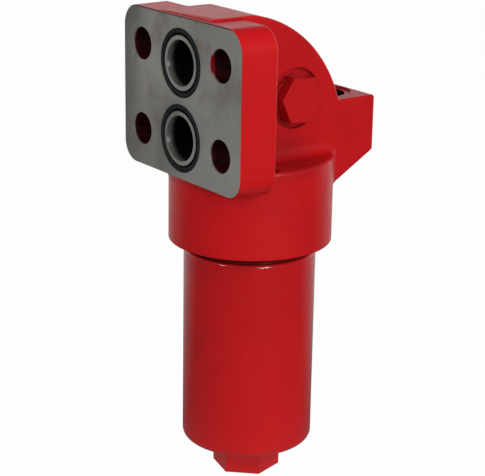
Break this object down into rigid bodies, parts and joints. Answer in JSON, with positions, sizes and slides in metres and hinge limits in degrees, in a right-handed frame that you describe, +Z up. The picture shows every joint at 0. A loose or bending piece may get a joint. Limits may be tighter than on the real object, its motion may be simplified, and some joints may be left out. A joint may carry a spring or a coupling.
{
  "type": "hydraulic pressure filter",
  "caption": "Flange-mounted hydraulic pressure filter: cast head with face-sealed ports, a side bypass valve and a screw-on bowl around a pleated element.",
  "frame": {"origin": "centre of the bolt pattern, on the machined flange face", "axes": "-Y out of the flange face, +Z up along the bowl axis towards the head, +X to the right seen from the ports"},
  "size_m": [0.1362, 0.1437, 0.3298],
  "materials": {
    "red_paint": "gloss red paint over cast iron and steel",
    "plug_paint": "gloss red paint over steel",
    "black_rubber": "black nitrile rubber",
    "bare_steel": "turned steel",
    "spring_steel": "drawn spring wire",
    "seal_plastic": "off-white sealing plastic",
    "element_metal": "zinc-plated sheet",
    "filter_medium": "pleated glass-fibre medium",
    "wrap_plastic": "light grey sleeve"
  },
  "bodies": {
    "head": {"filter_head": "red_paint", "outlet_o_ring": "black_rubber", "inlet_o_ring": "black_rubber", "bypass_plug": "plug_paint", "bypass_plug_seal": "bare_steel", "bypass_seat": "bare_steel", "bypass_spring_shim": "bare_steel", "bypass_spring": "spring_steel", "element_spigot": "bare_steel", "spigot_o_ring": "black_rubber", "element_top_cap": "element_metal", "element_bottom_cap": "element_metal", "element_o_ring": "black_rubber", "element_core_tube": "element_metal", "element_pleats": "filter_medium", "element_outer_wrap": "wrap_plastic"},
    "bowl_seals": {"bowl_o_ring": "black_rubber", "bowl_backup_ring": "seal_plastic"},
    "bowl": {"bowl": "red_paint"},
    "poppet": {"bypass_poppet": "bare_steel"}
  },
  "joints": [
    {"name": "bowl_drop", "type": "slide", "parent": "head", "child": "bowl_seals", "axis": [0, 0, -1], "range_m": [0, 0.024]},
    {"name": "bowl_turn", "type": "hinge", "parent": "bowl_seals", "child": "bowl", "pos_m": [0, 0.05845, -0.15], "axis": [0, 0, -1], "range_deg": [0, 5760]},
    {"name": "bypass_lift", "type": "slide", "parent": "head", "child": "poppet", "axis": [1, 0, 0], "range_m": [0, 0.004], "stiffness_N_per_m": 8000, "springref_m": -0.0116, "deforming": ["bypass_spring"]}
  ],
  "couplings": [
    {"joint": "bowl_drop", "follows": "bowl_turn", "m_per_rad": 0.00023873}
  ]
}
